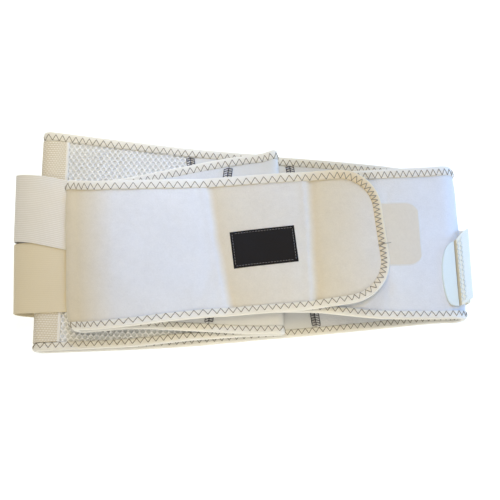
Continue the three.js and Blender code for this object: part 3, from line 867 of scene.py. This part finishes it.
def binding_edge():
    """The flat band's outer edge, all the way round: places, and the way inward."""
    straight = np.arange(-CORNER_START, CORNER_START, BINDING_STEP)
    from_fold = (straight - band.distance_of[TAIL_FOLD]) / TAIL_CORNER_REACH
    flare = TAIL_CORNER_FLARE * np.exp(-(from_fold**2))
    bottom = np.column_stack([straight, -half_height(straight), 0 * straight, 0 * straight + 1])
    top = np.column_stack([straight, half_height(straight) + flare, 0 * straight, 0 * straight - 1])
    turn = np.arange(0, math.pi, BINDING_STEP / END_CORNER)
    ends = []
    for end in (1, -1):
        inward = np.stack([-end * np.sin(turn), end * np.cos(turn)], -1)
        middle_across = end * (END_CORNER - half_height(HALF_LENGTH)) * np.sign(np.cos(turn))
        middle = np.stack([np.full(turn.shape, end * CORNER_START), middle_across], -1)
        ends.append(np.column_stack([middle - inward * END_CORNER, inward]))
    return np.concatenate([bottom, ends[0], top[::-1], ends[1]])


edge_rows = binding_edge()
edge_steps = np.linalg.norm(np.diff(edge_rows[:, :2], axis=0, append=edge_rows[:1, :2]), axis=1)
edge_pitch = [np.interp(edge_rows[:, 0], list(p), list(p.values())) for p in STITCH_PITCH.values()]
edge_pitch = np.where(edge_rows[:, 3] > 0, *edge_pitch)
edge_phase = np.concatenate([[0], np.cumsum(edge_steps / edge_pitch)])
edge_rows = np.vstack([edge_rows, edge_rows[:1]])
stitch_count = int(edge_phase[-1])
edge_phase *= stitch_count / edge_phase[-1]
INTO_SIDE = np.array([(2, 9), (-9, -2)] * 2)  # from each seam, where the binding thins to a side panel
SEAM_THICKNESS = [WING_THICKNESS, SIDE_THICKNESS, SIDE_THICKNESS, MESH_THICKNESS]


def binding_place(phase, inward, rise, face):
    """Places on the binding by stitch, distance inward and rise over the cloth's middle."""
    row = [np.interp(phase, edge_phase, column) for column in edge_rows.T]
    inward = inward * (1 - (1 - LOWER_FOLD) * (row[3] + 1) / 2)
    return band.place(row[0] + row[2] * inward, row[1] + row[3] * inward, face * rise)


def half_thickness(phase):
    """Half of the thickness that the binding holds at its edge."""
    along = np.interp(phase, edge_phase, edge_rows[:, 0])
    inward = np.interp(phase, edge_phase, edge_rows[:, 3])
    halves = []
    for seams in np.array(list(SEAMS.values())).T:
        at = (seams[:, None] + INTO_SIDE).ravel()
        halves.append(np.interp(along, at, SEAM_THICKNESS + SEAM_THICKNESS[::-1]) / 2)
    return np.where(inward > 0, *halves)


def leg_rise(phase, inward):
    """Height of the binding's face over the cloth's middle, puckered by the stitches."""
    rise = np.interp(inward, *zip(*sorted(BINDING_SECTION), (PAST_BINDING, 0.0)))
    pucker = PUCKER * np.cos(math.tau * phase) * np.clip((inward - PUCKER_FROM) / PUCKER_REACH, 0, 1)
    return half_thickness(phase) + rise * (1 + pucker)


def binding_shape():
    """The folded tape's section, carried all the way round the band."""
    phase = edge_phase[:-1, None]
    half = half_thickness(phase)
    section = [(inward, leg_rise(phase, inward)) for inward, _ in BINDING_SECTION]
    section += [(inward, share * half) for inward, share in BINDING_NOSE]
    section += [(inward, -height) for inward, height in section[-2::-1]]
    section += [(inward, face * (half + BINDING_GAP)) for inward, face in BINDING_INSIDE]
    inward = np.array([place[0] for place in section])
    heights = np.concatenate([place[1] for place in section], axis=1)
    points = binding_place(phase, inward, heights, 1)
    ids = np.arange(heights.size).reshape(heights.shape)
    length = np.interp(phase, edge_phase, np.concatenate([[0], np.cumsum(edge_steps)]))
    flat = np.stack(np.broadcast_arrays(length, inward, heights), -1).reshape(-1, 3)
    return points.reshape(-1, 3), ring_quads(ids, np.roll(ids, -1, 0)).tolist(), flat


def zigzag(face):
    """The binding's stitches on one face: straight threads from tip to tip."""
    reach = np.linspace(0, 1, len(STITCH_LIFT))
    shapes = []
    for start, share in ((0, reach), (0.5, 1 - reach)):
        phase = np.arange(stitch_count)[:, None] + start + 0.5 * reach
        inward = STITCH_OUT + (STITCH_IN - STITCH_OUT) * share
        rise = leg_rise(phase, inward) + STITCH_LIFT
        points = binding_place(phase, inward, rise, face)
        normals = unit(binding_place(phase, inward, rise + 1, face) - points)
        shapes.append(tubes(points, normals, STITCH_THREAD * STITCH_SWELL, STITCH_SIDES))
    return join(shapes)


def binding_finish():
    """Fold-over elastic: a soft off-white with fine ribs along its length, and a creamier painted shade
    round the flap's end.
    """
    material, flat = new_finish("fold_over_elastic", 0.75, 0.3)
    fine = flat.noise(0.7, 3.0)
    rib = flat.axis("Y").wave(0.9) * 0.5 + 0.5
    plain = (fine * 0.5 + flat.noise(14.0) * 0.5).between("f2eee3", "fcfaf3")
    # A golden colour painted as shade on the binding round the flap's end.
    start, end = BINDING_PAINTED_SHADE
    painted_shade = flat.axis("X").within(start, BINDING_SHADE_BLEND, end, BINDING_SHADE_BLEND)
    return feed(material, painted_shade.between(plain, "f0e0c0"), fine * 0.6 + rib * 0.4, 0.1)


def loose_end():
    """The cut end of the zigzag thread, at the flap's end."""
    reach = np.linspace(0, 1, 12)[None]
    along = LOOSE_PLACE[0] + LOOSE_LENGTH * reach
    across = LOOSE_PLACE[1] + LOOSE_DRIFT * reach + LOOSE_WAVE * np.sin(5 * reach)
    height = WING_THICKNESS / 2 + LOOSE_LIFT + LOOSE_CURL * reach**2
    return sewn(band, along, across, height, 1, LOOSE_THREAD)


binding_nodes = [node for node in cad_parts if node.startswith("binding_")]
binding = add_piece("binding_tape", binding_shape(), binding_finish(), binding_nodes)
zigzag_thread = thread_finish("zigzag_thread", "a39a8a", "857d6f")
stitch_shapes = [zigzag(1), zigzag(-1), loose_end()]
stitches = add_piece("binding_stitches", join(stitch_shapes), zigzag_thread)

# Lumbar straps
# Two ribbed elastic webbings run outside the band, under it and round both of its ends.
# Their right ends are sewn to the right tab, and their left ends lie under the flap.

STRAP_WIDTH = 64
STRAP_THICKNESS = 1
STRAP_STEP = 3.6
STRAP_ROLL = 0.8
END_TAPER = 0.1  # the stitches draw the strap's right end in by this share of its width
END_TAPER_REACH = 12.0
STRAP_PATHS = {
    "strap_upper": [
        Row(179.2, -26.6, 36.5, 1),
        Row(180.0, -26.4, 36.4, 1),
        Fold(195.8, -13.4, -0.5),
        Row(176, -2, 0.5, 5),
        Row(-192, 38.6, 0.5, 5),
        Fold(-215.5, 40.2, 2.6),
        Row(-192, 36.6, 21.4, -5),
        Row(-120, 22.5, 21.4, -10),
        Row(-20, 10, 21.4, 0),
    ],
    "strap_lower": [
        Row(179.2, -26.2, 35.2, 1),
        Row(180.0, -26.0, 35.1, 1),
        Fold(193.4, -17.5, -0.5),
        Row(167, -17, 1.8, 0),
        Row(-190, -27.4, 1.8, 1),
        Fold(-211.6, -26.2, 4),
        Row(-190, -26.6, 20, 2),
        Row(-120, -24, 20, 3),
        Row(-20, -16, 20, 0),
    ],
}
STRAP_RIB = 1.75
RIB_POINTS = 4
TURNED_END = 2.4  # the cut right end is turned under along this much, and painted there as a beige band of shade
# beige painted shade of the turned-under end
HEM_SHADE_COLOUR = "d9ccab"
END_PAINTED_LIGHT = 0.9  # share of a warmer colour at the right end, as painted warm light
END_LIGHT_REACH = 40.0
END_LIGHT_COLOUR = "fffbe4"
STRAP_RELIEF = {"strap_upper": 0.2, "strap_lower": 0.05}  # the lower one is worn smooth
STRAP_COLOURS = {"strap_upper": ("f8f6f2", "e8e4dc"), "strap_lower": ("f2e7cd", "e3d7b9")}


def strap_width_share(along):
    return 1 - END_TAPER * np.exp(-along / END_TAPER_REACH)


def strap_shape(strip, depth):
    """Ribbed webbing with rolled edges."""
    half = STRAP_WIDTH / 2
    steps = math.ceil((strip.distance[-1] - strip.distance[0]) / STRAP_STEP)
    along = np.linspace(strip.distance[0], strip.distance[-1], steps)
    across = np.linspace(-half, half, int(STRAP_WIDTH / STRAP_RIB * RIB_POINTS))
    along, across = np.meshgrid(along, across, indexing="ij")
    rib = depth * (np.cos(math.tau * across / STRAP_RIB) - 1) / 2
    height = (STRAP_THICKNESS / 2 + rib) * edge_roll(half - np.abs(across), STRAP_ROLL, 0.2)
    return closed_sheet(strip.place, along, across * strap_width_share(along), height, height)


def strap_finish(name, relief, light, dark):
    """Elastic webbing: fine picks across its ribs, painted shade in the grooves between them, painted
    warm light at the right end and painted shade on its turned-under end.
    """
    material, flat = new_finish(name, 0.8, 0.25)
    along = flat.axis("X")
    rib = (flat.axis("Y") + STRAP_RIB / 4).wave(STRAP_RIB)
    # The rib wave darkens the grooves between the ribs as painted shade.
    share = flat.noise(0.8, 3.0) * 0.3 + flat.noise(18.0) * 0.3 + rib * (1.8 * relief) + 0.2
    pick = along.wave(0.9) * 0.5 + 0.5
    # Painted warm light: a warmer colour over the strap's right end.
    painted_light = ((END_LIGHT_REACH - along) * (1 / END_LIGHT_REACH)).clamped() * END_PAINTED_LIGHT
    # Painted shade: a beige band along the turned-under right end.
    hem_shade = ((TURNED_END - along) * 2.0).clamped()
    plain = painted_light.between(share.between(dark, light), END_LIGHT_COLOUR)
    return feed(material, hem_shade.between(plain, HEM_SHADE_COLOUR), pick, 0.06)


strips = {}
for name, rows in STRAP_PATHS.items():
    strip = strips[name] = FoldedStrip(rows)
    finish = strap_finish(name + "_webbing", STRAP_RELIEF[name], *STRAP_COLOURS[name])
    strap = add_piece(name + "_webbing", strap_shape(strip, STRAP_RELIEF[name]), finish, [name])
    strap_cut = (STRAP_WIDTH * MM, (strip.distance[-1] - strip.distance[0]) * MM)

# Pull tabs
# Thin laminate plates that join the strap ends: the right one shows as a crescent on the right wing.
# White zigzag stitches hold the two strap ends on it.

TAB_THICKNESS = 1.1
Tab = namedtuple("Tab", "root reach middle width turn base")
RIGHT_TAB = Tab(178.8, -12.4, -26.5, 57, 1, 35.1)
LEFT_TAB = Tab(-19.6, 28, -4, 64, 0, 19.4)
TAB_ROLL = 1.2
TAB_LOWER = 0.5  # the lower half of a tab is squarer than half an ellipse
END_STITCH_COLUMNS = (2.2, 6.4)
END_STITCH_WIDTH = 2.6
END_STITCH_PITCH = 4.6
END_STITCH_MARGIN = 3
END_STITCH_LIFT = 0.2
END_STITCH_THREAD = 0.42
TAB_POINTS = (24, 60)
TAB_TIPS = 0.49  # in half turns, just short of the half ellipse's tips


def tab_shape(tab):
    """A plate between the straight root and half an ellipse, with rolled edges."""
    share = np.linspace(0, 1, TAB_POINTS[0])
    tips = math.copysign(TAB_TIPS, tab.reach) * math.pi
    share, turn = np.meshgrid(share, np.linspace(-tips, tips, TAB_POINTS[1]), indexing="ij")
    full = np.cos(turn) ** np.where(turn < 0, TAB_LOWER, 1)
    x = tab.reach * share * full
    y = tab.width / 2 * np.sin(turn)
    to_edge = abs(tab.reach) * (1 - share) * full
    height = TAB_THICKNESS * edge_roll(to_edge, TAB_ROLL, 0.35)

    def place(x, y, z):
        x, y = turned(x, y, math.radians(tab.turn))
        spot = np.broadcast_arrays(x + tab.root, y + tab.middle, z + tab.base)
        return (np.stack(spot, -1) + path_origin) * MM

    return closed_sheet(place, x, y, height, 0.0)


tab_laminate = knit_finish("tab_laminate", "f1fbf9", "e7f4f2", 0.9, 0.06, roughness=0.6)
for side, tab, rest in (("right", RIGHT_TAB, wings["right"]), ("left", LEFT_TAB, side_panels["left"])):
    plate = add_piece(f"{side}_tab_plate", tab_shape(tab), tab_laminate, [f"{side}_tab"])
    tab_cut = (tab.width * MM, abs(tab.reach) * MM)
    tab_area = math.pi / 4 * tab.width * abs(tab.reach) * MM * MM

end_shapes = []
last_tip = STRAP_WIDTH / 2 - END_STITCH_MARGIN
tips = np.arange(-last_tip, last_tip, END_STITCH_PITCH / 2)
side_step = END_STITCH_WIDTH * (np.arange(len(tips)) % 2)
reach = np.linspace(0, 1, THREAD_STEPS)
for column in END_STITCH_COLUMNS:
    along = column + side_step[:-1, None] + np.diff(side_step)[:, None] * reach
    across = (tips[:-1, None] + np.diff(tips)[:, None] * reach) * strap_width_share(along)
    height = STRAP_THICKNESS / 2 + END_STITCH_LIFT
    end_shapes.append(sewn(strips["strap_upper"], along, across, height, 1, END_STITCH_THREAD))
white_thread = thread_finish("white_thread", "f1f3ed", "dfe3da")
add_piece("strap_end_stitches", join(end_shapes), white_thread)

# Label
# A bare black woven label, sewn flat on the flap with a border of grey running stitch.

LABEL_ALONG = 56
LABEL_ACROSS = 32.5
LABEL_THICKNESS = 0.8
LABEL_PLACE = (593.3, -4.3)
LABEL_TURN = math.radians(2.2)
LABEL_STITCH_INSET = 1.9
LABEL_STITCH = 1.7
LABEL_STITCH_PITCH = 2.5
LABEL_STITCH_LIFT = np.array([-0.25, 0, 0, -0.25])
LABEL_THREAD = 0.22
LABEL_POINTS = (90, 60)
LABEL_ROLL = 0.9
LABEL_DIP = 0.16  # the stitches draw the label in
LABEL_DIP_WIDTH = 0.8
PATCH_GAP = 0.05  # between a wing and what lies on it


def label_spot(x, y):
    """Flat place on the flap of a point of the label."""
    x, y = turned(x, y, LABEL_TURN)
    return LABEL_PLACE[0] + x, LABEL_PLACE[1] + y


def wing_face(along, across):
    """Height of the underside of what lies on a wing."""
    return WING_THICKNESS / 2 + PATCH_GAP + wing_rise(along, across)


def wing_patch(along, across, top, places):
    """A sheet on a wing, with its top at that height and flat places of its own."""
    points, faces, _ = closed_sheet(band.place, along, across, top, -wing_face(along, across))
    return points, faces, np.concatenate([np.stack(places, -1).reshape(-1, 3)] * 2)


def label_shape():
    """A flat label with rolled edges, drawn in along its stitches."""
    x = np.linspace(-LABEL_ALONG / 2, LABEL_ALONG / 2, LABEL_POINTS[0])
    y = np.linspace(-LABEL_ACROSS / 2, LABEL_ACROSS / 2, LABEL_POINTS[1])
    x, y = np.meshgrid(x, y, indexing="ij")
    to_edge = np.minimum(LABEL_ALONG / 2 - np.abs(x), LABEL_ACROSS / 2 - np.abs(y))
    dip = LABEL_DIP * np.exp(-(((to_edge - LABEL_STITCH_INSET) / LABEL_DIP_WIDTH) ** 2))
    along, across = label_spot(x, y)
    top = wing_face(along, across) + LABEL_THICKNESS * edge_roll(to_edge, LABEL_ROLL, 0.4) - dip
    return wing_patch(along, across, top, (x, y, top))


def label_stitch_shapes():
    """The running stitches of the four sides."""
    half_x, half_y = LABEL_ALONG / 2 - LABEL_STITCH_INSET, LABEL_ACROSS / 2 - LABEL_STITCH_INSET
    corners = np.array([(-half_x, -half_y), (half_x, -half_y), (half_x, half_y), (-half_x, half_y)])
    reach = np.linspace(0, 1, THREAD_STEPS) * LABEL_STITCH
    for start, finish in zip(corners, np.roll(corners, -1, 0)):
        length = np.linalg.norm(finish - start)
        step = (finish - start) / length
        begin = np.arange(0.5, length - LABEL_STITCH, LABEL_STITCH_PITCH)[:, None] + reach
        along, across = label_spot(start[0] + step[0] * begin, start[1] + step[1] * begin)
        height = wing_face(along, across) + LABEL_THICKNESS + LABEL_STITCH_LIFT
        yield sewn(band, along, across, height, 1, LABEL_THREAD)


def label_finish():
    """Black damask: fine threads both ways, with a soft shine."""
    material, flat = new_finish("black_damask", 0.6, 0.03)
    weave = flat.axis("X").wave(0.7) * flat.axis("Y").wave(0.7)
    share = weave * 0.25 + flat.noise(1.1) * 0.5 + 0.2
    return feed(material, share.between("0b0808", "1a1516"), weave * 0.5 + 0.5, 0.06)


label = add_piece("label_damask", label_shape(), label_finish(), ["label_patch"])
grey_thread = thread_finish("grey_thread", "8d8a88", "6f6c6b")
label_stitches = add_piece("label_stitches", join(list(label_stitch_shapes())), grey_thread)

# Fastener patch
# A smooth cream patch of loop cloth, bonded to the outer face of the right wing, half under the flap.

PATCH_ALONG = 92
PATCH_ACROSS = 58
PATCH_CORNER = 12
PATCH_THICKNESS = 0.45
PATCH_STEPS = 40
PATCH_CORNER_STEPS = 12
PATCH_ROLL = 2.5
PATCH_RIM = 1.2
PATCH_PLACE = (-476, 7.5)


def patch_shape():
    """A thin patch with rounded corners."""
    half, straight = PATCH_ALONG / 2, PATCH_ALONG / 2 - PATCH_CORNER
    corner = straight + PATCH_CORNER * np.sin(np.linspace(0, math.pi / 2, PATCH_CORNER_STEPS))
    x = np.concatenate([-corner[:0:-1], np.linspace(-straight, straight, PATCH_STEPS), corner[1:]])
    x, share = np.meshgrid(x, np.linspace(-1, 1, PATCH_STEPS), indexing="ij")
    into = np.maximum(np.abs(x) - straight, 0)
    reach = PATCH_ACROSS / 2 - PATCH_CORNER + np.sqrt(np.maximum(PATCH_CORNER**2 - into**2, 0))
    y = share * reach
    to_edge = np.minimum(half - np.abs(x), reach - np.abs(y))
    along, across = PATCH_PLACE[0] + x, PATCH_PLACE[1] + y
    top = wing_face(along, across) + PATCH_THICKNESS * edge_roll(to_edge, PATCH_ROLL)
    return wing_patch(along, across, top, (x, y, to_edge))


def patch_finish():
    """Cream loop cloth, bonded flat, a little lighter along its edge."""
    material, flat = new_finish("loop_cloth", 0.6, 0.15)
    cream = flat.noise(3.0).between("e2d8c5", "ebe1ce")
    inner = flat.axis("Z").over(PATCH_RIM)
    return feed(material, inner.between("e6e3dc", cream), flat.noise(0.4), 0.05)


patch = add_piece("fastener_patch_cloth", patch_shape(), patch_finish(), ["fastener_patch"])

# Table, light and camera
# A plain white table in soft light: a warm panel above, a low cool window at the right, fills and spots.
# The camera looks down at the band as the photograph does.

TABLE_HALF = 3.0
TARGET = (path_origin + [0, 0, 15]) * MM
CAMERA_DISTANCE = 0.720
CAMERA_ELEVATION = math.radians(75)
CAMERA_LENS = 57.6
CAMERA_SENSOR = 36
CAMERA_NEAR = 0.01


TABLE_LOOK = {
    "Base Color": (0.6, 0.6, 0.6, 1),
    "Roughness": 1.0,
    "Specular IOR Level": 0.0,
    "Emission Color": (0.96, 1, 1, 1),
    "Emission Strength": 0.7,
}
table_mesh = bpy.data.meshes.new("table")
corners = [(x * TABLE_HALF, y * TABLE_HALF, 0) for x, y in ((-1, -1), (1, -1), (1, 1), (-1, 1))]
table_mesh.from_pydata(corners, [], [(0, 1, 2, 3)])
table_mesh.materials.append(new_material("white_table", TABLE_LOOK))
table = in_scene("table", table_mesh)
table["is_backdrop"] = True


def aim(thing, place, target):
    """Puts a light or camera at a place, looking at a target with +Y up in the picture."""
    back = unit(np.array(place) - np.array(target))
    right = unit(np.cross([0, 1, 0.001], back))
    up = np.cross(back, right)
    turn = np.column_stack([right, up, back])
    thing.matrix_world = Matrix([[*turn[i], place[i]] for i in range(3)] + [[0, 0, 0, 1]])


Lamp = namedtuple("Lamp", "azimuth elevation size power colour target", defaults=[(0, 0)])
PANEL_DISTANCE = 1.6
PANELS = {
    "low_cool_window": Lamp(8, 9, 0.45, 11, (0.2, 0.5, 1.0)),
    "warm_top_panel": Lamp(90, 86, 0.6, 6.0, (1.0, 0.82, 0.48)),
    "front_fill": Lamp(275, 34, 0.6, 6.0, (1.0, 0.96, 0.86)),
    "back_fill": Lamp(90, 35, 0.6, 6.5, (0.94, 0.98, 1.0)),
}
SPOT_DISTANCE = 1.0
SPOT_SOURCE = 0.1
SPOTS = {
    "cool_spot_left": Lamp(60, 60, 0.078, 36, (0.0, 0.29, 1.0), (-72, 0)),
    "cool_spot_right": Lamp(60, 60, 0.088, 41, (0.0, 0.30, 1.0), (192, 0)),
    "mesh_spot": Lamp(100, 60, 0.085, 24, (0.95, 0.97, 1.0), (-95, 118)),
    "front_spot": Lamp(265, 45, 0.15, 10, (1.0, 0.95, 0.82), (10, -150)),
}


def hang(light, lamp, distance):
    """Puts a light at its angles and distance from the place that it lights."""
    light.energy = lamp.power
    light.color = lamp.colour
    azimuth, elevation = math.radians(lamp.azimuth), math.radians(lamp.elevation)
    level = math.cos(elevation)
    way = np.array([math.cos(azimuth) * level, math.sin(azimuth) * level, math.sin(elevation)])
    target = TARGET + np.array([*lamp.target, 0]) * MM
    aim(in_scene(light.name, light), target + way * distance, target)


for name, lamp in PANELS.items():
    panel = bpy.data.lights.new(name, "AREA")
    panel.shape = "DISK"
    panel.size = lamp.size
    hang(panel, lamp, PANEL_DISTANCE)
for name, lamp in SPOTS.items():
    spot = bpy.data.lights.new(name, "SPOT")
    spot.spot_size = 2 * math.atan(lamp.size / SPOT_DISTANCE)
    spot.spot_blend = 1.0
    spot.shadow_soft_size = SPOT_SOURCE
    hang(spot, lamp, SPOT_DISTANCE)

world = bpy.data.worlds.new("studio")
world.use_nodes = True
background = world.node_tree.nodes["Background"].inputs
background["Color"].default_value = (1, 0.96, 0.89, 1)
background["Strength"].default_value = 0.275
bpy.context.scene.world = world
bpy.context.scene.view_settings.view_transform = "Standard"

camera_data = bpy.data.cameras.new("camera")
camera_data.lens = CAMERA_LENS
camera_data.sensor_width = CAMERA_SENSOR
camera_data.clip_start = CAMERA_NEAR
camera = in_scene("camera", camera_data)
view_way = np.array([0, -math.cos(CAMERA_ELEVATION), math.sin(CAMERA_ELEVATION)])
aim(camera, TARGET + view_way * CAMERA_DISTANCE, TARGET)
bpy.context.scene.camera = camera

low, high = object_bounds()
size = {"cad": [list(cad_low), list(cad_high)], "visual": [list(low), list(high)]}
